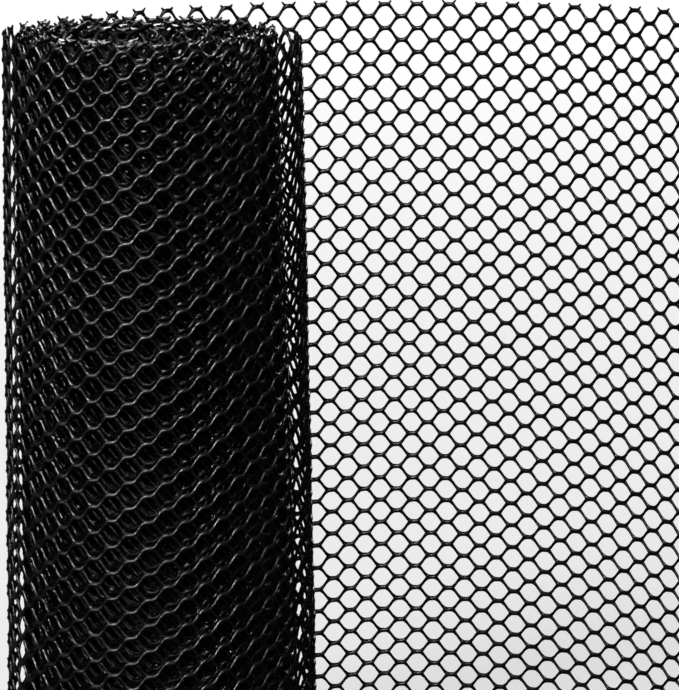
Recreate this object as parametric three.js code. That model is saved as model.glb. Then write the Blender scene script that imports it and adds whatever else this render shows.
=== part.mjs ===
// A roll of plastic chicken wire: an upright roll of hexagonal net with its outer end led off the back.
//
// Millimetres, +Z up, standing on z = 0. Two pieces: the wound roll, one solid of its turns round an
// off-centre hollow, a loose outer wrap and its lead round the back, and the loose end that follows on from
// the lead, a curled sheet cut through with hexagons.
// The plan is drawn about the roll's axis: +X runs along the loose end, +Y is the back.

import * as THREE from 'three';
import { mergeVertices } from 'three/addons/utils/BufferGeometryUtils.js';

const { degToRad, lerp, smoothstep } = THREE.MathUtils;

// Net
const NET_HEIGHT = 406;
const NET_THICKNESS = 2;
const COLUMN_PITCH = 17.25;
const ROWS = 31;
const ROW_PITCH = NET_HEIGHT / ROWS;
const NET_COLOUR = 0x161617;
const NET_ROUGHNESS = 0.42;

// Winding: one loose wrap, then turns that narrow from the body's circle to the hollow's
const WRAP_CIRCLE = { x: 2.1, y: 0, r: 72.9 };
const BODY_CIRCLE = { x: -1.1, y: 0, r: 64.3 };
const HOLLOW_CIRCLE = { x: -31.5, y: 5, r: 22 };
const WRAP_TIGHTENS_FROM = 0.7;
const BODY_TURNS = 4;
const BODY_EASE = 1.25;
const SEGMENTS_PER_TURN = 48;

// Share of its pitch that a turn of the body fills: pressed all round, slack on the right
const PRESSED_FILL = 0.9;
const SLACK = 0.32;

// Drop of the winding's top edge below the net's height: it sinks and rises from turn to turn
const TOP_EDGE = [
  { turn: 0, drop: 0 },
  { turn: 0.5, drop: 0 },
  { turn: 1, drop: 5 },
  { turn: 2, drop: 2 },
  { turn: 3, drop: 6 },
  { turn: 4, drop: 2 },
  { turn: 5, drop: 7 },
];

// Free net: it leaves the wrap at this angle round the axis and turns ever more slowly along its length. Its
// first stretch, the lead, is still one piece with the roll
const LEAVE_ANGLE = degToRad(163.5);
const CURL = degToRad(107.3);
const CURL_LENGTH = 370;
const CURL_EASE = 0.81;
const PLAN_STEP = 1;
const LEAD = 86;
const LEAD_STEPS = 12;
const LEAD_GAP = 0.3;

// Cells of the loose end, at twice the net's own pitch, and the gap in each of them
const COARSENESS = 2;
const CELL_STEP = COLUMN_PITCH * COARSENESS / 2;
const CELL_HEIGHT = ROW_PITCH * COARSENESS;
const CELL_FLAT = 10;
const CELL_TIP = CELL_STEP - CELL_FLAT / 2;
const GAP_HEIGHT = 20.2;
const GAP_FLAT = 8.6;
const GAP_TIP = 10;
const CELL_COLUMNS = 18;
const CELLS_PER_COLUMN = 15;
const FREE_LENGTH = LEAD + LEAD_GAP + 2 * CELL_TIP + (CELL_COLUMNS - 1) * CELL_STEP;

// The net stands wider at its foot, and its foot lies a little to the left
const FOOT_SPREAD = 0.095;
const FOOT_SHIFT = -1.7;

// Corners nearer to each other than this are one corner
const SAME_CORNER = 1e-3;

/** A point of the net from its place in the plan and its height, moved out towards the foot. */
function stand(plan, z) {
  const low = 1 - z / NET_HEIGHT;
  const spread = 1 + FOOT_SPREAD * low;
  return new THREE.Vector3(plan.x * spread + FOOT_SHIFT * low, plan.y * spread, z);
}

/** A closed geometry from four-cornered faces, each listed anticlockwise as seen from outside. */
function facetGeometry(faces) {
  const corners = faces.flatMap(([a, b, c, d]) => [a, b, c, a, c, d]);
  const geometry = mergeVertices(new THREE.BufferGeometry().setFromPoints(corners), SAME_CORNER);
  geometry.computeVertexNormals();
  return geometry;
}

const turnAngle = (turn) => LEAVE_ANGLE + turn * 2 * Math.PI;

/** Outer edge of the winding in plan, a number of turns in from where the free net leaves. */
function outerEdge(turn) {
  const wrapping = turn < 1;
  const from = wrapping ? WRAP_CIRCLE : BODY_CIRCLE;
  const to = wrapping ? BODY_CIRCLE : HOLLOW_CIRCLE;
  const wrapShare = smoothstep(turn, WRAP_TIGHTENS_FROM, 1);
  const bodyShare = (Math.max(turn - 1, 0) / (BODY_TURNS + 1)) ** BODY_EASE;
  const share = wrapping ? wrapShare : bodyShare;
  const radius = lerp(from.r, to.r, share);
  const x = lerp(from.x, to.x, share) + radius * Math.cos(turnAngle(turn));
  const y = lerp(from.y, to.y, share) + radius * Math.sin(turnAngle(turn));
  return new THREE.Vector2(x, y);
}

/** Inner edge of the winding: one net in on the wrap, near the next turn on the body. */
function innerEdge(turn) {
  const outer = outerEdge(turn);
  const next = outerEdge(turn + 1);
  const bodyFill = PRESSED_FILL - SLACK * Math.max(0, Math.cos(turnAngle(turn)));
  const wrapFill = NET_THICKNESS / outer.distanceTo(next);
  return outer.lerp(next, lerp(wrapFill, bodyFill, smoothstep(turn, WRAP_TIGHTENS_FROM, 1)));
}

/** Height of the winding's top edge, read off between the rows of its table. */
function topEdge(turn) {
  const after = TOP_EDGE.findIndex((row) => row.turn >= turn);
  const next = TOP_EDGE[Math.max(after, 1)];
  const last = TOP_EDGE[Math.max(after, 1) - 1];
  return NET_HEIGHT - lerp(last.drop, next.drop, smoothstep(turn, last.turn, next.turn));
}

/** The four corners of the winding's upright section: outer foot, outer top, inner top, inner foot. */
function windingSection(turn) {
  const top = topEdge(turn);
  const outer = outerEdge(turn);
  const inner = innerEdge(turn);
  return [stand(outer, 0), stand(outer, top), stand(inner, top), stand(inner, 0)];
}

/** Heading of the free net in plan, a length along it from where it leaves the wrap. */
function heading(length) {
  return LEAVE_ANGLE - Math.PI / 2 - CURL * (length / CURL_LENGTH) ** CURL_EASE;
}

/** Plan of the free net: the middle of its thickness at each step of its length. */
function freePlan() {
  const radius = WRAP_CIRCLE.r - NET_THICKNESS / 2;
  const point = new THREE.Vector2(
    WRAP_CIRCLE.x + radius * Math.cos(LEAVE_ANGLE),
    WRAP_CIRCLE.y + radius * Math.sin(LEAVE_ANGLE),
  );
  const points = [point.clone()];
  for (let length = 0; length < FREE_LENGTH; length += PLAN_STEP) {
    const direction = heading(length + PLAN_STEP / 2);
    point.add(new THREE.Vector2(Math.cos(direction), Math.sin(direction)).multiplyScalar(PLAN_STEP));
    points.push(point.clone());
  }
  return points;
}

const plan = freePlan();

/** A point of the free net from its length, its height and its face: 1 is the outer face, -1 the inner. */
function onSheet([length, z], face) {
  const step = Math.min(Math.floor(length / PLAN_STEP), plan.length - 2);
  const middle = plan[step].clone().lerp(plan[step + 1], length / PLAN_STEP - step);
  const across = new THREE.Vector2(-Math.sin(heading(length)), Math.cos(heading(length)));
  return stand(middle.addScaledVector(across, face * NET_THICKNESS / 2), z);
}

/** The four corners of the lead's upright section, in the winding's order. */
function leadSection(length) {
  const foot = [length, 0];
  const top = [length, NET_HEIGHT];
  return [onSheet(foot, 1), onSheet(top, 1), onSheet(top, -1), onSheet(foot, -1)];
}

/** The wound roll: its section swept along the lead and round every turn, with an upright face at either end. */
function rollGeometry() {
  const sections = [];
  for (let step = LEAD_STEPS; step > 0; step -= 1) {
    sections.push(leadSection(LEAD * step / LEAD_STEPS));
  }
  for (let step = 0; step <= (BODY_TURNS + 1) * SEGMENTS_PER_TURN; step += 1) {
    sections.push(windingSection(step / SEGMENTS_PER_TURN));
  }
  const last = sections.length - 1;
  const faces = [sections[0], [...sections[last]].reverse()];
  for (let step = 0; step < last; step += 1) {
    const here = sections[step];
    const there = sections[step + 1];
    here.forEach((corner, side) => {
      const next = (side + 1) % here.length;
      faces.push([corner, there[side], there[next], here[next]]);
    });
  }
  return facetGeometry(faces);
}

/** Corners of a hexagon with a level top and bottom, anticlockwise from its right-hand tip. */
function hexagon(length, z, tip, flat, height) {
  return [
    [length + tip, z],
    [length + flat / 2, z + height / 2],
    [length - flat / 2, z + height / 2],
    [length - tip, z],
    [length - flat / 2, z - height / 2],
    [length + flat / 2, z - height / 2],
  ];
}

/** Middles of the loose end's cells: every other column stands half a cell higher. */
function cellMiddles() {
  const middles = [];
  for (let column = 0; column < CELL_COLUMNS; column += 1) {
    const length = LEAD + LEAD_GAP + CELL_TIP + column * CELL_STEP;
    const lift = (column % 2) * CELL_HEIGHT / 2;
    for (let row = 0; row < CELLS_PER_COLUMN; row += 1) {
      middles.push([length, lift + (row + 0.5) * CELL_HEIGHT]);
    }
  }
  return middles;
}

/** A name for the side of a cell, the same from the cells on both hands of it. */
function sideName(a, b) {
  const middle = a.map((value, axis) => (value + b[axis]) / 2);
  return middle.map((value) => value.toFixed(2)).join(' ');
}

/** The loose end: a rim round each gap on both faces, the gaps' walls and the walls of the outline. */
function looseEndGeometry() {
  const faces = [];
  const outline = new Map();
  for (const [length, z] of cellMiddles()) {
    const rim = hexagon(length, z, CELL_TIP, CELL_FLAT, CELL_HEIGHT);
    const gap = hexagon(length, z, GAP_TIP, GAP_FLAT, GAP_HEIGHT);
    rim.forEach((corner, side) => {
      const next = (side + 1) % rim.length;
      const round = [corner, rim[next], gap[next], gap[side]];
      const front = round.map((point) => onSheet(point, -1));
      const back = round.map((point) => onSheet(point, 1));
      faces.push(front, [...back].reverse(), [front[3], front[2], back[2], back[3]]);
      const name = sideName(corner, rim[next]);
      const shared = outline.delete(name);
      if (!shared) {
        outline.set(name, [front[1], front[0], back[0], back[1]]);
      }
    });
  }
  return facetGeometry([...faces, ...outline.values()]);
}

function piece(name, geometry) {
  const material = new THREE.MeshStandardMaterial({ color: NET_COLOUR, roughness: NET_ROUGHNESS, metalness: 0 });
  const mesh = new THREE.Mesh(geometry, material);
  mesh.name = name;
  return mesh;
}

const group = new THREE.Group();
group.add(piece('net_roll', rollGeometry()));
group.add(piece('loose_end', looseEndGeometry()));

// The origin lies on the floor under the middle of the whole part's box
const middle = new THREE.Box3().setFromObject(group).getCenter(new THREE.Vector3());
group.position.set(-middle.x, -middle.y, 0);

export default group;
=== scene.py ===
# %% [markdown]
# # A roll of plastic chicken wire
#
# The object is one length of black hexagonal netting, extruded in polyethylene, wound up and stood
# on its cut edge. A loose wrap hangs round the tight turns, and the free end leaves at the back and
# runs off to the right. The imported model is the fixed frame: it gives the sizes and the place of
# the roll and of its loose end.

# %% Load the frame
import math
import random

import bpy
import numpy as np
from mathutils import Matrix, Vector


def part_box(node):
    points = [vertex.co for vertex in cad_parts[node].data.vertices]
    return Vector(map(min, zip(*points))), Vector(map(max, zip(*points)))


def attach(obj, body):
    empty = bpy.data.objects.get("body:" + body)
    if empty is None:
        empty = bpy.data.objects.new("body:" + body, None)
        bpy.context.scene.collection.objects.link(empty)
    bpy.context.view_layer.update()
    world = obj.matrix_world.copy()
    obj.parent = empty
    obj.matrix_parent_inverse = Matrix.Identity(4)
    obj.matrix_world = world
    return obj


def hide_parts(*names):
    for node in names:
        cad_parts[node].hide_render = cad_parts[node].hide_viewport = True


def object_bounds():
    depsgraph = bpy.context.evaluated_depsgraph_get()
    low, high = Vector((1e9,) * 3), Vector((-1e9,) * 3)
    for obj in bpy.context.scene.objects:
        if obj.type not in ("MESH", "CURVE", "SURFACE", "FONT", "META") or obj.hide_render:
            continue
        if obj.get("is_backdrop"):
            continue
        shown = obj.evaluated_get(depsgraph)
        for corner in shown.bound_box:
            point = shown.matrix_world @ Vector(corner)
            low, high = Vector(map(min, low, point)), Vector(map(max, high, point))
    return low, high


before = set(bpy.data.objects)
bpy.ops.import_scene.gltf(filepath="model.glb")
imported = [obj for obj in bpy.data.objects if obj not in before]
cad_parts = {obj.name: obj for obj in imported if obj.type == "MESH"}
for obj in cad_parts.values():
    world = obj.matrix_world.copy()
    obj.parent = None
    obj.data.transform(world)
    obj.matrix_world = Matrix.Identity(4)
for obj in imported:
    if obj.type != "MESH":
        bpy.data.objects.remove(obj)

MM = 0.001
cad_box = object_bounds()
roll_low, roll_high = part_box("net_roll")
loose_low, loose_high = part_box("loose_end")
NET_HEIGHT = roll_high.z
print("roll", [round(side / MM, 1) for side in roll_high - roll_low], "mm")
print("loose end", [round(side / MM, 1) for side in loose_high - loose_low], "mm")

# %% [markdown]
# ## Camera
#
# The photograph is a tight crop through a long lens. The rows of cells on the loose end tell how
# the camera stood: they close up towards the foot, so it looked down a little, from about the
# height of the net's upper edge. A camera could be set by eye, but one that is built from the
# measured angles shows at once whether a later piece has the right size.

# %% Make the camera
PHOTO_HEIGHT = 690
FOCAL_LENGTH = 2800
SENSOR = 36
CAMERA_PLACE = Vector((-16.1 * MM, -1403.4 * MM, 542 * MM))
CAMERA_PITCH = math.radians(-12.21)
CAMERA_ROLL = math.radians(-0.3)

camera = bpy.data.objects.new("camera", bpy.data.cameras.new("camera"))
camera.data.sensor_fit = "VERTICAL"
camera.data.sensor_height = SENSOR
camera.data.lens = FOCAL_LENGTH / PHOTO_HEIGHT * SENSOR
level_view = Matrix.Rotation(math.pi / 2 + CAMERA_PITCH, 4, "X")
turned_view = level_view @ Matrix.Rotation(CAMERA_ROLL, 4, "Z")
camera.matrix_world = Matrix.Translation(CAMERA_PLACE) @ turned_view
bpy.context.scene.collection.objects.link(camera)
bpy.context.scene.camera = camera
print("camera lens", round(camera.data.lens, 1), "mm")

# %% [markdown]
# ## The winding in plan
#
# Seen from above, the net is a single line: some nine turns round a hollow that lies off centre, a
# loose wrap, and the free net that swings round the back and off to the right. A spiral could be
# drawn by hand as a curve, but a function of the turn is easier to fit: the line lies on a ring
# whose left and right edges move in from turn to turn. On the left the turns are pressed together
# evenly. On the right the outer ones crowd and the inner ones are slack, so a seeded wobble moves
# them most there.

# %% Sizes of the winding, about the roll's own axis
WRAP_RING = {"left": -69.8 * MM, "right": 74 * MM, "depth": 0}
BODY_RING = {"left": -64.4 * MM, "right": 62.2 * MM, "depth": 0}
HOLLOW_RING = {"left": -51 * MM, "right": -3 * MM, "depth": 4 * MM}
EASE = {"left": 1, "right": 2.2, "depth": 1}
WRAP_TIGHTENS_FROM = 0.7
INNER_END = 10
POINTS_PER_TURN = 240
WOBBLE_PRESSED = 0.25 * MM
WOBBLE_SLACK = 1.9 * MM
WOBBLE_WAVES = (2.3, 3.7, 6.1)
WOBBLE_SEED = 7
SLACK_FROM, SLACK_TO = 1, 3
LEAVE_ANGLE = math.radians(163.5)

wobble_random = random.Random(WOBBLE_SEED)
wobble_phases = [wobble_random.uniform(0, math.tau) for _ in WOBBLE_WAVES]
print("hollow", round((HOLLOW_RING["right"] - HOLLOW_RING["left"]) / MM), "mm wide")


def mix(start, end, share):
    """What lies a share of the way from start to end."""
    return start + (end - start) * share


def smooth_share(value, low, high):
    """How far a value lies from low to high, from 0 to 1, with a soft start and stop."""
    share = min(max((value - low) / (high - low), 0), 1)
    return share * share * (3 - 2 * share)


def turn_angle(turn):
    """Direction from the middle of the ring, some turns in."""
    return LEAVE_ANGLE + turn * math.tau


def ring_at(turn, edge):
    """An edge of the ring that the net lies on, some turns in from where the free net leaves."""
    if turn < 1:
        return mix(WRAP_RING[edge], BODY_RING[edge], smooth_share(turn, WRAP_TIGHTENS_FROM, 1))
    return mix(BODY_RING[edge], HOLLOW_RING[edge], ((turn - 1) / (INNER_END - 1)) ** EASE[edge])


def wobble_at(turn):
    """How far a turn strays from its ring."""
    waves = zip(WOBBLE_WAVES, wobble_phases)
    sways = [math.sin(wave * turn * math.tau + phase) for wave, phase in waves]
    slack = max(0, math.cos(turn_angle(turn))) * smooth_share(turn, SLACK_FROM, SLACK_TO)
    return sum(sways) / len(sways) * (WOBBLE_PRESSED + WOBBLE_SLACK * slack)


def plan_at(turn):
    """The place of the net in plan, some turns in."""
    left, right, depth = [ring_at(turn, edge) for edge in EASE]
    radius = (right - left) / 2 + wobble_at(turn)
    angle = turn_angle(turn)
    across = (left + right) / 2 + radius * math.cos(angle)
    return Vector((across, depth + radius * math.sin(angle), 0))


# %% [markdown]
# ## The free net and the cut edges
#
# The free net is stiff, so it doesn't hang: it keeps a wide curl that opens with its length. One arc
# could be drawn for it, but the columns of cells in the photograph aren't evenly narrowed, so the
# heading is turned a little less at each step. The cut edges of the turns don't lie level: each
# turn was pulled a few millimetres up or down as it was wound. Low down, the turns lean to the
# right, away from the wrap. Short tables give both in millimetres for some of the turns, and the
# path carries them as an attribute.

# %% Draw the winding from its inner end to the tip of the free net
CURL = math.radians(107.3)
CURL_LENGTH = 370 * MM
CURL_EASE = 0.81
FREE_LENGTH = 404.05 * MM
FREE_STEP = 2 * MM
TOP_DROPS = {
    0: 0, 0.25: 2, 0.5: 4, 1: 3, 1.5: 0, 2: 1, 3: 3, 4: 0,
    5: 4, 6: 1, 7: 5, 8: 1, 9: 4, 10: 2, 11: 2,
}
FOOT_LIFTS = {0: 0, 1: 0, 2: 3, 3: 0, 4: 4, 5: 1, 6: 5, 7: 0, 8: 4, 9: 1, 10: 3, 11: 3}
FOOT_SHIFTS = {0: -1.7, 0.7: -1.7, 1.3: 2.8, 11: 2.8}


def edge_at(table, turn):
    """How far an edge lies from its place at some turn, read off between the rows of its table."""
    before = max(row for row in table if row <= turn)
    after = min(row for row in table if row > before)
    return mix(table[before], table[after], smooth_share(turn, before, after)) * MM


steps = round(INNER_END * POINTS_PER_TURN)
turns = [INNER_END * (1 - step / steps) for step in range(steps + 1)]
plan = [plan_at(turn) for turn in turns]
edges = []
for turn in turns:
    top = NET_HEIGHT - edge_at(TOP_DROPS, turn)
    edges.append((edge_at(FOOT_LIFTS, turn), top, edge_at(FOOT_SHIFTS, turn)))
for step in range(round(FREE_LENGTH / FREE_STEP)):
    length = (step + 0.5) * FREE_STEP
    heading = LEAVE_ANGLE - math.pi / 2 - CURL * (length / CURL_LENGTH) ** CURL_EASE
    plan.append(plan[-1] + FREE_STEP * Vector((math.cos(heading), math.sin(heading), 0)))
    edges.append((0, NET_HEIGHT, edge_at(FOOT_SHIFTS, 0)))

lengths = [0.0]
for start, end in zip(plan, plan[1:]):
    lengths.append(lengths[-1] + (end - start).length)


def length_at(turn):
    """Length of net from the inner end to a turn."""
    return lengths[round((INNER_END - turn) / INNER_END * steps)]


winding = bpy.data.meshes.new("winding")
winding.from_pydata(plan, [(step, step + 1) for step in range(len(plan) - 1)], [])
edge_values = winding.attributes.new("edges", "FLOAT_VECTOR", "POINT")
edge_values.data.foreach_set("vector", [value for edge in edges for value in edge])
free_part = lengths[-1] - length_at(0)
print("net length", round(lengths[-1], 3), "m, of which", round(free_part, 3), "m are free")

# %% [markdown]
# ## A short way to write node trees
#
# The net is drawn by Geometry Nodes and its plastic by shader nodes, and both need a good deal of
# arithmetic. One helper adds a node with its settings and inputs. A small class lets an output be
# added, scaled and compared with ordinary signs, each of which places a Math node, so that a
# formula in a tree still reads as a formula.


# %% Helpers for node trees
def add_node(tree, kind, inputs=None, **settings):
    """One node of a tree. Inputs go by name or number, as plain values or as other nodes' outputs."""
    node = tree.nodes.new(kind)
    for name, value in settings.items():
        setattr(node, name, value)
    for key, value in (inputs or {}).items():
        if isinstance(value, Field):
            tree.links.new(value.socket, node.inputs[key])
        else:
            node.inputs[key].default_value = value
    return node


class Field:
    """The output of a node, which plain arithmetic takes on through Math nodes of its tree."""

    def __init__(self, node, output=0):
        self.socket = node.outputs[output]

    def math(self, operation, *others):
        values = dict(enumerate((self, *others)))
        return Field(add_node(self.socket.id_data, "ShaderNodeMath", values, operation=operation))

    def __add__(self, other):
        return self.math("ADD", other)

    def __sub__(self, other):
        return self.math("SUBTRACT", other)

    def __mul__(self, other):
        return self.math("MULTIPLY", other)

    def __truediv__(self, other):
        return self.math("DIVIDE", other)

    def __gt__(self, other):
        return self.math("GREATER_THAN", other)

    def __lt__(self, other):
        return self.math("LESS_THAN", other)

    def __neg__(self):
        return self * -1

    def __rsub__(self, other):
        return self * -1 + other

    __radd__ = __add__
    __rmul__ = __mul__


def vector(tree, x, y, z):
    """A vector of three numbers or fields."""
    return Field(add_node(tree, "ShaderNodeCombineXYZ", {0: x, 1: y, 2: z}))


def parts_of(tree, field):
    """The three numbers of a vector."""
    split = add_node(tree, "ShaderNodeSeparateXYZ", {0: field})
    return [Field(split, axis) for axis in range(3)]


# %% [markdown]
# ## The net, drawn flat and then wound
#
# Such a net comes out of two rings of nozzles that turn against each other: one set of strands
# climbs to the right, the other to the left, and they weld where they cross. So the net isn't drawn
# as hexagons here but as its real strands, each a wave that runs level through a weld and then
# steeply to the next. A cell instanced on a grid would be simpler, but its copies would break the
# long gleam that runs along a whole strand from weld to weld.
#
# The tree places points for every strand of a stretch of net lying flat, joins them to curves,
# bends the curves onto the winding and gives them a round section. A half step, the way from one
# weld to the next, belongs to the stretch that its middle lies in, so neighbouring stretches share
# their welds and nothing is doubled.

# %% Sizes of the net
COLUMN_PITCH = 17.25 * MM
ROWS = 31
STEPS = 2 * ROWS
EDGE = 3 * MM
ROW_PITCH = (NET_HEIGHT - 2 * EDGE) / ROWS
HALF_STEP_X, HALF_STEP_Z = COLUMN_PITCH / 2, ROW_PITCH / 2
STRAND_RADIUS = 0.8 * MM
# How strongly the strands that climb to the right and to the left wave
WAVES = (1.03, 1.13)
# A weld of the free net, measured from where it leaves the roll
CROWN_AT = 285.3 * MM
# Shortest and longest stub past the last weld, in half steps
STUBS = (0.36, 0.45)
# Distance from a weld up to which it is fully swollen, and from which it isn't, in half steps
WELD_FULL, WELD_REACH = 0.21, 0.43
print("row pitch", round(ROW_PITCH / MM, 2), "mm, columns", round(lengths[-1] / COLUMN_PITCH))


# %% Begin the tree
def random_field(tree, low, high, key, seed):
    """A number for each key, at random but the same in each run."""
    values = {2: low, 3: high, "ID": key, "Seed": seed}
    return Field(add_node(tree, "FunctionNodeRandomValue", values, data_type="FLOAT"), 1)


def keep_attribute(tree, geometry, name, value, kind="FLOAT"):
    """The geometry with a value stored on its points."""
    values = {"Geometry": geometry, "Name": name, "Value": value}
    return Field(add_node(tree, "GeometryNodeStoreNamedAttribute", values, data_type=kind))


def read_attribute(tree, name, kind="FLOAT"):
    """A value that was stored on the points."""
    values = {"Name": name}
    return Field(add_node(tree, "GeometryNodeInputNamedAttribute", values, data_type=kind))


NET_INPUTS = {
    "Winding": "NodeSocketGeometry",
    "First": "NodeSocketFloat",
    "Last": "NodeSocketFloat",
    "Crown": "NodeSocketFloat",
    "Wrap Start": "NodeSocketFloat",
    "Wrap Creep": "NodeSocketFloat",
    "Strand Radius": "NodeSocketFloat",
    "Weld Swelling": "NodeSocketFloat",
    "Horn Taper": "NodeSocketFloat",
    "Crossing": "NodeSocketFloat",
    "Unevenness": "NodeSocketFloat",
    "Corners": "NodeSocketInt",
    "Sides": "NodeSocketInt",
    "Foot Spread": "NodeSocketFloat",
    "Axis": "NodeSocketVector",
    "Seed": "NodeSocketInt",
    "Material": "NodeSocketMaterial",
}
net_tree = bpy.data.node_groups.new("wound_net", "GeometryNodeTree")
for input_name, socket_type in NET_INPUTS.items():
    net_tree.interface.new_socket(input_name, in_out="INPUT", socket_type=socket_type)
net_tree.interface.new_socket("Net", in_out="OUTPUT", socket_type="NodeSocketGeometry")
given = add_node(net_tree, "NodeGroupInput")
size = {input_name: Field(given, input_name) for input_name in NET_INPUTS}
print("inputs of the net's tree", len(size))

# %% Number the strands and their points
columns = ((size["Last"] - size["First"]) / COLUMN_PITCH).math("CEIL") + (ROWS + 2)
strand_points = size["Corners"] * (STEPS + 2) + 1
index = Field(add_node(net_tree, "GeometryNodeInputIndex"))
strand = (index / strand_points).math("FLOOR")
family = strand.math("FLOORED_MODULO", 2)
number = (strand / 2).math("FLOOR")

stub_low = random_field(net_tree, STUBS[0], STUBS[1], strand, size["Seed"])
stub_high = random_field(net_tree, STUBS[0], STUBS[1], strand, size["Seed"] + 1)
free_climb = (index - strand * strand_points - size["Corners"]) / size["Corners"]
corner_share = (size["Corners"] * 1.0).math("POWER", -1)
past_foot = free_climb > -stub_low - corner_share
under_top = free_climb < stub_high + corner_share + STEPS
climb = free_climb.math("MAXIMUM", -stub_low).math("MINIMUM", stub_high + STEPS)
step_number = climb.math("FLOOR")
step_share = climb - step_number
print("nodes that number the strands", len(net_tree.nodes))

# %% Place the points of every strand, lying flat
first_column = ((size["First"] - size["Crown"]) / COLUMN_PITCH).math("FLOOR")
foot = size["Crown"] + (first_column + number - ROWS * (1 - family)) * COLUMN_PITCH
side = 1 - 2 * family
wave = (climb * math.tau).math("SINE") * mix(WAVES[0], WAVES[1], family) / math.tau
along = foot + side * HALF_STEP_X * climb
height = HALF_STEP_Z * (climb - wave) + EDGE


def in_stretch(step):
    """Whether the middle of a half step lies in this stretch of the net."""
    middle = foot + side * HALF_STEP_X * (step + 0.5)
    return (1 - (middle < size["First"])) * (middle < size["Last"])


SAME_PLACE = 1e-4
shared_weld = (step_share < SAME_PLACE) * in_stretch(step_number - 1)
kept = past_foot * under_top * in_stretch(step_number).math("MAXIMUM", shared_weld)
weld_distance = step_share.math("MINIMUM", 1 - step_share)
weld_range = {"Value": weld_distance, "From Min": WELD_REACH, "From Max": WELD_FULL}
weld = Field(add_node(net_tree, "ShaderNodeMapRange", weld_range))
horn = (-climb).math("MAXIMUM", climb - STEPS).math("MAXIMUM", 0)

flat = vector(net_tree, along, side * size["Crossing"], height)
count = columns * strand_points * 2
points = Field(add_node(net_tree, "GeometryNodePoints", {"Count": count, "Position": flat}))
points = keep_attribute(net_tree, points, "strand", strand, "INT")
points = keep_attribute(net_tree, points, "weld", weld)
points = keep_attribute(net_tree, points, "horn", horn)
points = keep_attribute(net_tree, points, "climb", climb)
points = keep_attribute(net_tree, points, "flat", flat, "FLOAT_VECTOR")
left_out = {"Geometry": points, "Selection": kept < 0.5}
points = Field(add_node(net_tree, "GeometryNodeDeleteGeometry", left_out))
print("nodes that place the points", len(net_tree.nodes))

# %% Join the points to strands, a little uneven
UNEVEN_SCALE = 28
UNEVEN_DETAIL = 1
grouped = {"Points": points, "Curve Group ID": read_attribute(net_tree, "strand", "INT")}
strands = Field(add_node(net_tree, "GeometryNodePointsToCurves", grouped))

position = Field(add_node(net_tree, "GeometryNodeInputPosition"))
noise_values = {"Vector": position, "Scale": UNEVEN_SCALE, "Detail": UNEVEN_DETAIL}
noise = Field(add_node(net_tree, "ShaderNodeTexNoise", noise_values), "Color")
stray = [(value - 0.5) * size["Unevenness"] for value in parts_of(net_tree, noise)]
flat_place = zip(parts_of(net_tree, position), stray)
flat_x, flat_y, flat_z = [value + shift for value, shift in flat_place]
print("nodes that join the strands", len(net_tree.nodes))

# %% Wind the strands along the line
CREEP_LENGTH = 110 * MM
line = Field(add_node(net_tree, "GeometryNodeMeshToCurve", {"Mesh": size["Winding"]}))
wrap_start = size["Wrap Start"]
creep_range = {"Value": flat_x, "From Min": wrap_start, "From Max": wrap_start - CREEP_LENGTH}
creep = add_node(net_tree, "ShaderNodeMapRange", creep_range, interpolation_type="SMOOTHSTEP")
along_line = flat_x + Field(creep) * size["Wrap Creep"]
edge_fields = read_attribute(net_tree, "edges", "FLOAT_VECTOR")
sampled = {"Curves": line, "Value": edge_fields, "Length": along_line}
sampling = {"mode": "LENGTH", "data_type": "FLOAT_VECTOR"}
sample = add_node(net_tree, "GeometryNodeSampleCurve", sampled, **sampling)
foot_edge, top_edge, foot_shift = parts_of(net_tree, Field(sample, "Value"))
plan_x, plan_y, _ = parts_of(net_tree, Field(sample, "Position"))
ahead_x, ahead_y, _ = parts_of(net_tree, Field(sample, "Tangent"))
axis_x, axis_y, _ = parts_of(net_tree, size["Axis"])
wound_z = flat_z * (top_edge - foot_edge) / NET_HEIGHT + foot_edge
lowness = 1 - wound_z / NET_HEIGHT
spread = size["Foot Spread"] * lowness + 1
wound_x = (plan_x - ahead_y * flat_y) * spread + foot_shift * lowness + axis_x
wound_y = (plan_y + ahead_x * flat_y) * spread + axis_y
wound = vector(net_tree, wound_x, wound_y, wound_z)
wound_strands = {"Geometry": strands, "Position": wound}
strands = Field(add_node(net_tree, "GeometryNodeSetPosition", wound_strands))
print("nodes that wind the strands", len(net_tree.nodes))

# %% Give the strands their round section
swelling = read_attribute(net_tree, "weld") * size["Weld Swelling"] + 1
taper = 1 - read_attribute(net_tree, "horn") * size["Horn Taper"]
thickness = size["Strand Radius"] * swelling * taper
ring_size = {"Resolution": size["Sides"], "Radius": 1}
ring = Field(add_node(net_tree, "GeometryNodeCurvePrimitiveCircle", ring_size))
ring = keep_attribute(net_tree, ring, "round", position, "FLOAT_VECTOR")
ring = keep_attribute(net_tree, ring, "side", index)
tubes = {"Curve": strands, "Profile Curve": ring, "Scale": thickness, "Fill Caps": True}
net = Field(add_node(net_tree, "GeometryNodeCurveToMesh", tubes))
net = Field(add_node(net_tree, "GeometryNodeSetShadeSmooth", {"Geometry": net}))
net = Field(add_node(net_tree, "GeometryNodeRealizeInstances", {"Geometry": net}))
finished = {"Geometry": net, "Material": size["Material"]}
net = Field(add_node(net_tree, "GeometryNodeSetMaterial", finished))
add_node(net_tree, "NodeGroupOutput", {0: net})
print("nodes in the tree of the net", len(net_tree.nodes))
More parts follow.
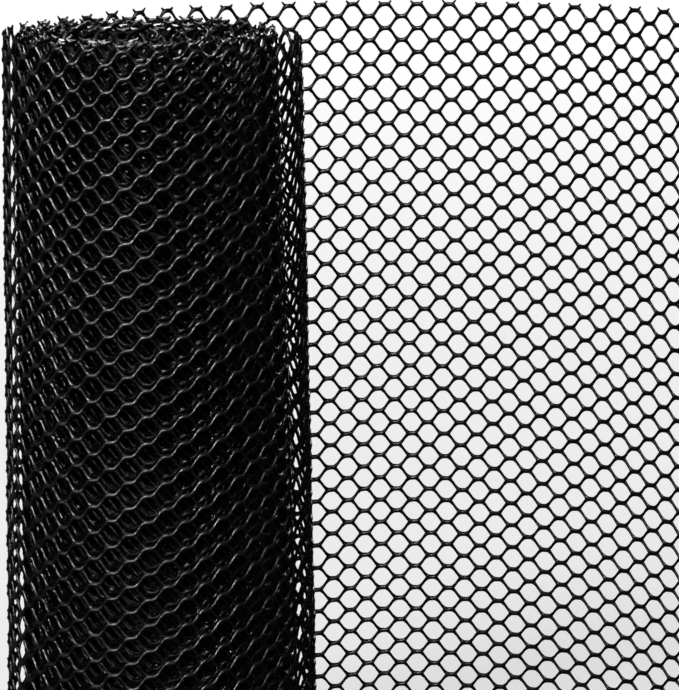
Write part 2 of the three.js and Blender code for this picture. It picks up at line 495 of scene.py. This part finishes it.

# %% [markdown]
# ## Black polyethylene
#
# The net is coloured through with carbon black and has the satin skin of an extruded plastic: fine
# lines from the nozzle run along each strand, and the skin is never equally smooth. Where two
# strands met while hot, the weld is duller, and its tone is a shade greyer as a painted highlight. A
# little dust lies on whatever faces up. A picture of plastic could be wrapped round the strands, but
# at this size it would only blur, so the finish is worked out from what each strand already carries:
# its number, its place in the flat net, the place round its section and the nearness of a weld.

# %% Groups for the finish
def shader_group(name, inputs, outputs):
    """An empty shader node group with named sockets, and the fields of its inputs."""
    tree = bpy.data.node_groups.new(name, "ShaderNodeTree")
    for socket, kind in inputs.items():
        tree.interface.new_socket(socket, in_out="INPUT", socket_type=kind)
    for socket in outputs:
        tree.interface.new_socket(socket, in_out="OUTPUT", socket_type="NodeSocketFloat")
    given = add_node(tree, "NodeGroupInput")
    return tree, {socket: Field(given, socket) for socket in inputs}


def noise_field(tree, place, scale, detail=2):
    """Noise from 0 to 1 over a place."""
    values = {"Vector": place, "Scale": scale, "Detail": detail}
    return Field(add_node(tree, "ShaderNodeTexNoise", values), "Fac")


# Fine lines along a strand: noise that changes fast round the section and slowly along the strand
LINE_SLOWNESS = 26
STRAND_APART = 7.31
nozzle_inputs = {
    "Round": "NodeSocketVector",
    "Flat": "NodeSocketVector",
    "Strand": "NodeSocketFloat",
    "Lines": "NodeSocketFloat",
}
nozzle_group, nozzle = shader_group("nozzle_lines", nozzle_inputs, ["Lines"])
round_x, round_y, _ = parts_of(nozzle_group, nozzle["Round"])
_, _, strand_height = parts_of(nozzle_group, nozzle["Flat"])
line_x = round_x + nozzle["Strand"] * STRAND_APART
line_place = vector(nozzle_group, line_x, round_y, strand_height * LINE_SLOWNESS)
line_noise = noise_field(nozzle_group, line_place, nozzle["Lines"])
add_node(nozzle_group, "NodeGroupOutput", {0: line_noise})

# Dust on what faces up, in patches
PATCH_DETAIL = 4
dust_inputs = {
    "Normal": "NodeSocketVector",
    "Place": "NodeSocketVector",
    "Amount": "NodeSocketFloat",
    "Patches": "NodeSocketFloat",
}
dust_group, dust = shader_group("settled_dust", dust_inputs, ["Dust"])
_, _, facing_up = parts_of(dust_group, dust["Normal"])
patches = noise_field(dust_group, dust["Place"], dust["Patches"], PATCH_DETAIL)
settled = facing_up.math("MAXIMUM", 0).math("POWER", 2) * patches * dust["Amount"]
add_node(dust_group, "NodeGroupOutput", {0: settled})
print("finish groups", [group.name for group in (nozzle_group, dust_group)])


# %% Make the plastic
def grey(tree, value):
    """A colour that is equally red, green and blue."""
    return vector(tree, value, value, value)


def attribute(tree, name, output):
    """What the mesh carries under a name."""
    return Field(add_node(tree, "ShaderNodeAttribute", attribute_name=name), output)


def place_group(tree, group, inputs):
    """The first output of a group that is placed in a material."""
    return Field(add_node(tree, "ShaderNodeGroup", inputs, node_tree=group))


PLASTIC_BLACK = 0.003
LINE_DARK, LINE_CONTRAST = 0.6, 0.8
# Painted highlight: near a weld the tone is a shade greyer
WELD_PAINTED_HIGHLIGHT = 0.002
DUST_GREY = 0.01
MOTTLE_SCALE = 420
SKIN_ROUGHNESS = 0.24
LINE_ROUGH, MOTTLE_ROUGH, WELD_ROUGH, DUST_ROUGH = 0.1, 0.12, 0.08, 0.3
MOTTLE_HEIGHT = 0.5

plastic = bpy.data.materials.new("black_polyethylene")
plastic.use_nodes = True
skin = plastic.node_tree
place = Field(add_node(skin, "ShaderNodeTexCoord"), "Object")
normal = Field(add_node(skin, "ShaderNodeNewGeometry"), "Normal")
weld_near = attribute(skin, "weld", "Fac")
nozzle_values = {
    "Round": attribute(skin, "round", "Vector"),
    "Flat": attribute(skin, "flat", "Vector"),
    "Strand": attribute(skin, "strand", "Fac"),
    "Lines": 3,
}
lines = place_group(skin, nozzle_group, nozzle_values)
dust_values = {"Normal": normal, "Place": place, "Amount": 0.5, "Patches": 60}
dusty = place_group(skin, dust_group, dust_values)
mottle = noise_field(skin, place, MOTTLE_SCALE)
tone = (lines * LINE_CONTRAST + LINE_DARK) * PLASTIC_BLACK
# The welds' greyer tone is a painted highlight; the dust is real
tone = tone + weld_near * mottle * WELD_PAINTED_HIGHLIGHT + dusty * DUST_GREY
smoothest = SKIN_ROUGHNESS - (LINE_ROUGH + MOTTLE_ROUGH) / 2
roughness = lines * LINE_ROUGH + mottle * MOTTLE_ROUGH + weld_near * WELD_ROUGH
roughness = roughness + dusty * DUST_ROUGH + smoothest

bump_values = {"Height": lines + mottle * MOTTLE_HEIGHT, "Strength": 0.25, "Distance": 0.15 * MM}
bump = Field(add_node(skin, "ShaderNodeBump", bump_values))
shader = skin.nodes["Principled BSDF"]
skin_fields = {"Base Color": grey(skin, tone), "Roughness": roughness, "Normal": bump}
for socket, field in skin_fields.items():
    skin.links.new(field.socket, shader.inputs[socket])
print("nodes in the plastic", len(skin.nodes))

# %% [markdown]
# ## Stretches of the net
#
# The roll and its free end are one net. It is wound here in stretches: what shows from outside is
# drawn with many corners and sides, and the turns further in, which show only as a dark tangle,
# with few. Equal detail everywhere would be simpler to write, but it would take more than two
# million triangles. A section with few sides covers less than a round one of the same radius, so
# its radius is made larger. The net stands wider at its foot, as the roll in the photograph does,
# so every point is moved out from the roll's axis by its height.

# %% Wind a stretch
FOOT_SPREAD = 0.095
ROLL_AXIS = Vector((-108.5925, -36.3956, 0)) * MM
LEAD = 86 * MM
lead_end = length_at(0) + LEAD
# Piece, the solid that it stands for, where it begins and ends on the net, corners of a half step
# and sides of a strand
STRETCHES = [
    ("loose_end_net", "loose_end", lead_end, lengths[-1], 7, 6),
    ("lead_net", "net_roll", length_at(0), lead_end, 5, 5),
    ("wrap_front", "net_roll", length_at(0.55), length_at(0), 7, 6),
    ("wrap_back", "net_roll", length_at(1), length_at(0.55), 5, 5),
    ("first_turn", "net_roll", length_at(2), length_at(1), 5, 5),
    ("second_turn", "net_roll", length_at(3), length_at(2), 5, 4),
    ("middle_turns", "net_roll", length_at(5), length_at(3), 3, 3),
    ("inner_turns", "net_roll", 0, length_at(5), 3, 3),
]
FEW_SIDES = {3: 1.5, 4: 1.3, 5: 1.06}
sockets = net_tree.interface.items_tree
identifiers = {socket.name: socket.identifier for socket in sockets if socket.in_out == "INPUT"}


def wind_stretch(name, first, last, corners, sides):
    """A stretch of the net as a plain mesh object."""
    source = bpy.data.objects.new(name + "_line", winding)
    bpy.context.scene.collection.objects.link(source)
    modifier = source.modifiers.new("net", "NODES")
    modifier.node_group = net_tree
    values = {
        "First": first,
        "Last": last,
        "Crown": length_at(0) + CROWN_AT,
        "Wrap Start": length_at(0),
        "Wrap Creep": 4 * MM,
        "Strand Radius": STRAND_RADIUS * FEW_SIDES.get(sides, 1),
        "Weld Swelling": 0.52,
        "Horn Taper": 1.2,
        "Crossing": -0.25 * MM,
        "Unevenness": 1.2 * MM,
        "Corners": corners,
        "Sides": sides,
        "Foot Spread": FOOT_SPREAD,
        "Axis": ROLL_AXIS,
        "Seed": 11,
        "Material": plastic,
    }
    for input_name, value in values.items():
        modifier[identifiers[input_name]] = value
    depsgraph = bpy.context.evaluated_depsgraph_get()
    evaluated = source.evaluated_get(depsgraph)
    keep = {"preserve_all_data_layers": True, "depsgraph": depsgraph}
    mesh = bpy.data.meshes.new_from_object(evaluated, **keep)
    source.modifiers.remove(modifier)
    bpy.data.objects.remove(source)
    mesh.name = name
    piece = bpy.data.objects.new(name, mesh)
    bpy.context.scene.collection.objects.link(piece)
    return piece


print("stretches", [name for name, *_ in STRETCHES])

# %% [markdown]
# ## A flat layout of the strands
#
# For the finish to be baked into a picture and used in other programs, every face needs a spot of
# its own in a flat layout. An automatic unwrap would cut thousands of thin tubes at random.
# The strands already carry what a good layout needs: their number, how far they have climbed and
# the side of the section. So each strand becomes an upright strip beside the next one, and its two
# small caps lie just past the strip's ends.

# %% Lay the strands out
# In widths of a strip and in half steps: the free edge of a strip, and the caps' size and distance
STRIP_EDGE = 0.05
CAP_WIDTH, CAP_HEIGHT, CAP_AWAY = 0.4, 0.1, 0.2


def point_values(mesh, name, kind="value", width=1):
    """An attribute of the mesh as one row of numbers for each point."""
    number_type = np.int32 if name == "strand" else np.float32
    values = np.empty(len(mesh.vertices) * width, dtype=number_type)
    mesh.attributes[name].data.foreach_get(kind, values)
    return values.reshape(-1, width) if width > 1 else values


def unwrap(mesh, sides):
    """Lay every strand out flat as an upright strip, with the caps just past its two ends."""
    corners = np.empty(len(mesh.loops), dtype=np.int32)
    mesh.loops.foreach_get("vertex_index", corners)
    starts = np.empty(len(mesh.polygons), dtype=np.int32)
    mesh.polygons.foreach_get("loop_start", starts)
    face = np.searchsorted(starts, np.arange(len(corners)), side="right") - 1
    _, strip = np.unique(point_values(mesh, "strand"), return_inverse=True)
    climb = point_values(mesh, "climb")
    round_x, round_y, _ = point_values(mesh, "round", "vector", 3)[corners].T

    low = np.minimum.reduceat(climb[corners], starts)
    high = np.maximum.reduceat(climb[corners], starts)
    cap = (low == high)[face]
    # The face that closes a ring runs from its last side on to one more, not back to side 0
    side = point_values(mesh, "side")[corners]
    side_range = np.maximum.reduceat(side, starts) - np.minimum.reduceat(side, starts)
    across_seam = (side_range > 1.5)[face]
    side = np.where(across_seam & (side < 0.5), sides, side)

    strip_top = np.full(strip.max() + 1, -np.inf)
    np.maximum.at(strip_top, strip, climb)
    end = np.where(climb[corners] == strip_top[strip[corners]], 1, -1)
    on_strip = STRIP_EDGE + (1 - 2 * STRIP_EDGE) * side / sides
    across = np.where(cap, 0.5 + CAP_WIDTH * round_x, on_strip)
    up = climb[corners] + np.where(cap, end * (CAP_AWAY + CAP_HEIGHT * round_y), 0)
    u = (strip[corners] + across) / (strip.max() + 1)
    v = (up + 1) / (STEPS + 2)
    spots = np.stack([u, v], axis=1)
    layer = mesh.uv_layers.new(name="OFBake")
    layer.data.foreach_set("uv", spots.astype(np.float32).ravel())


# %% [markdown]
# ## All stretches
#
# Each stretch becomes one piece that moves with the roll, stands for its solid and takes the net's
# finish. The free net is as wide as the net and as long as what lies past the lead, and it stands
# by its own stiffness where it runs on from the lead. The rest of the net is wound fast. One single
# piece would be simpler to name, but it would hold about a million triangles, and a piece's file is
# thinned past two hundred thousand.

# %% Wind all stretches
pieces = {}
for name, node, first, last, corners, sides in STRETCHES:
    piece = wind_stretch(name, first, last, corners, sides)
    mesh = piece.data
    unwrap(mesh, sides)
    mesh.calc_loop_triangles()
    print(name, len(mesh.loop_triangles), "triangles")
    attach(piece, "root")
    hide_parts(node)
    pieces[name] = piece

# %% [markdown]
# ## Floor
#
# The roll stands on plain pale paper that runs out of the picture. The net would mirror the paper in
# every strand, so the paper glows for the camera and hardly at all for the net. The glow is painted
# light, and it is painted a little darker towards the front as painted shade. Plain white paper under
# a strong light could be used too, but the net would mirror it as brightly as the camera sees it.

# %% Make the floor
FLOOR = 12
GLOW_NEAR, GLOW_FAR = 0.7, 0.98
FADE_FROM, FADE_TO = 0.2, 3.6
PAPER_MIRRORED = 0.01
PAPER_GREY, PAPER_GREY_MIRRORED = 0.5, 0.1
FIBRE_SCALE, FIBRE_SHADE = 300, 0.02
floor_corners = [
    (-FLOOR, -FLOOR, 0),
    (FLOOR, -FLOOR, 0),
    (FLOOR, FLOOR, 0),
    (-FLOOR, FLOOR, 0),
]
floor_mesh = bpy.data.meshes.new("floor")
floor_mesh.from_pydata(floor_corners, [], [(0, 1, 2, 3)])
floor = bpy.data.objects.new("floor", floor_mesh)
bpy.context.scene.collection.objects.link(floor)

paper = bpy.data.materials.new("floor_paper")
paper.use_nodes = True
sheet = paper.node_tree
paper_place = Field(add_node(sheet, "ShaderNodeTexCoord"), "Object")
fibres = noise_field(sheet, paper_place, FIBRE_SCALE)
_, depth, _ = parts_of(sheet, paper_place)
# The paper's glow is painted light, painted darker towards the front as painted shade
fade_range = {
    "Value": depth,
    "From Min": FADE_FROM,
    "From Max": FADE_TO,
    "To Min": GLOW_NEAR,
    "To Max": GLOW_FAR,
}
seen_glow = Field(add_node(sheet, "ShaderNodeMapRange", fade_range))
seen = Field(add_node(sheet, "ShaderNodeLightPath"), "Is Camera Ray")
glow = seen * (seen_glow - PAPER_MIRRORED) + PAPER_MIRRORED
glow = glow * (fibres * FIBRE_SHADE + (1 - FIBRE_SHADE / 2))
paper_shader = sheet.nodes["Principled BSDF"]
paper_shader.inputs["Roughness"].default_value = 0.9
paper_shader.inputs["Specular IOR Level"].default_value = 0.1
paper_shader.inputs["Emission Strength"].default_value = 1
# Painted shade: for every ray but the camera's the paper's grey is darker, so the net mirrors a dim
# floor
mirrored_share = seen * (1 - PAPER_GREY_MIRRORED) + PAPER_GREY_MIRRORED
paper_tone = (fibres * FIBRE_SHADE + PAPER_GREY) * mirrored_share
paper_fields = {"Base Color": grey(sheet, paper_tone), "Emission Color": grey(sheet, glow)}
for socket, field in paper_fields.items():
    sheet.links.new(field.socket, paper_shader.inputs[socket])
floor_mesh.materials.append(paper)
floor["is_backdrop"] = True
print("paper glows", GLOW_NEAR, "in front and", GLOW_FAR, "far back")

# %% [markdown]
# ## Light
#
# Black plastic shows only what it mirrors, so the light decides the look. A soft box on the left
# and one in front of it draw the long gleams along the strands that climb to the right, a high one
# leaves short gleams on the right-hand side, a narrow one picks out some strands of the turns under
# the wrap, and one over the free net draws a grey line on its welds. All of these wear a grid, so
# that they fade towards the foot. A strong box above lights the rim. Another stands behind the
# roll, so that its back isn't a plain black shape to someone who walks round it. One big box could
# light everything, but then the turns behind the wrap shine as much as the wrap itself, and the
# free net turns grey. So each light is kept to the pieces that it is meant for, as a photographer
# does with black cards. Only a weak one near the camera falls on everything.

# %% Place the lights
GRID, FINE_GRID, NARROW_GRID, NO_GRID = [math.radians(angle) for angle in (20, 16, 8, 180)]
STUDIO_GLOW = 0.01
roll_middle = (roll_low + roll_high) / 2
over_roll = roll_middle + Vector((0, 0, 0.35))
high_over_roll = roll_middle + Vector((0, 0, 0.55))
right_of_roll = roll_middle + Vector((0.1, 0, 0.4))
over_loose_end = roll_middle + Vector((0.2, 0.1, 0.5))
# Place from the roll's middle, the point that it looks at, width, height, grid and power
SOFT_BOXES = {
    "left_light": ((-3.28, -1.92, 1.2), high_over_roll, 0.7, 0.9, FINE_GRID, 2.5),
    "front_light": ((-1.8, -2.88, 2.12), over_roll, 1, 1, GRID, 4.9),
    "high_light": ((-1.2, -2, 3.24), high_over_roll, 0.8, 0.8, GRID, 1.8),
    "inner_light": ((-0.9, -2.2, 3.2), right_of_roll, 0.4, 1.2, NARROW_GRID, 0.9),
    "loose_light": ((-0.1, -2.2, 3.3), over_loose_end, 1.2, 1.2, GRID, 4),
    "top_light": ((-0.8, 1.2, 3.7), roll_middle, 1.2, 1.2, NO_GRID, 290),
    "back_light": ((2.2, 2.9, 1.7), roll_middle, 1, 1, NO_GRID, 150),
    "floor_light": ((-2.4, -2.4, 3), roll_middle, 2, 2, NO_GRID, 77),
    "camera_light": ((0.1, -3.8, 1.3), roll_middle, 0.6, 0.6, NO_GRID, 20),
}
wrap = [pieces[name] for name in ("lead_net", "wrap_front", "wrap_back")]
inside = [piece for name, piece in pieces.items() if name.endswith(("turn", "turns"))]
LIT = {
    "left_light": wrap,
    "front_light": wrap,
    "high_light": wrap,
    "inner_light": inside,
    "loose_light": [pieces["loose_end_net"]],
    "top_light": inside,
    "back_light": [pieces[name] for name in ("lead_net", "wrap_back", "first_turn")],
    "floor_light": [floor],
}

for name, (offset, aim, box_width, box_height, grid, power) in SOFT_BOXES.items():
    data = bpy.data.lights.new(name, "AREA")
    data.shape = "RECTANGLE"
    data.size, data.size_y = box_width, box_height
    data.spread = grid
    data.energy = power
    light = bpy.data.objects.new(name, data)
    light.location = roll_middle + Vector(offset)
    light.rotation_euler = (aim - light.location).to_track_quat("-Z", "Y").to_euler()
    bpy.context.scene.collection.objects.link(light)
    if name in LIT:
        light.light_linking.receiver_collection = bpy.data.collections.new(name)
        for item in LIT[name]:
            light.light_linking.receiver_collection.objects.link(item)

world = bpy.data.worlds.new("studio")
world.use_nodes = True
sky = world.node_tree.nodes["Background"]
sky.inputs["Color"].default_value = (1, 1, 1, 1)
sky.inputs["Strength"].default_value = STUDIO_GLOW
bpy.context.scene.world = world
bpy.context.scene.view_settings.view_transform = "Standard"
print("lights", list(SOFT_BOXES))

# %% [markdown]
# ## The two boxes
#
# The net has to fill the same space as the imported solids, which were measured on the same
# photograph. Both boxes are written down side by side, so that a wrong scale or a piece that strays
# shows at once.

# %% Print the two boxes
for model, (low, high) in {"solids": cad_box, "net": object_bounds()}.items():
    print(model, [round(side / MM, 1) for side in high - low], "mm")
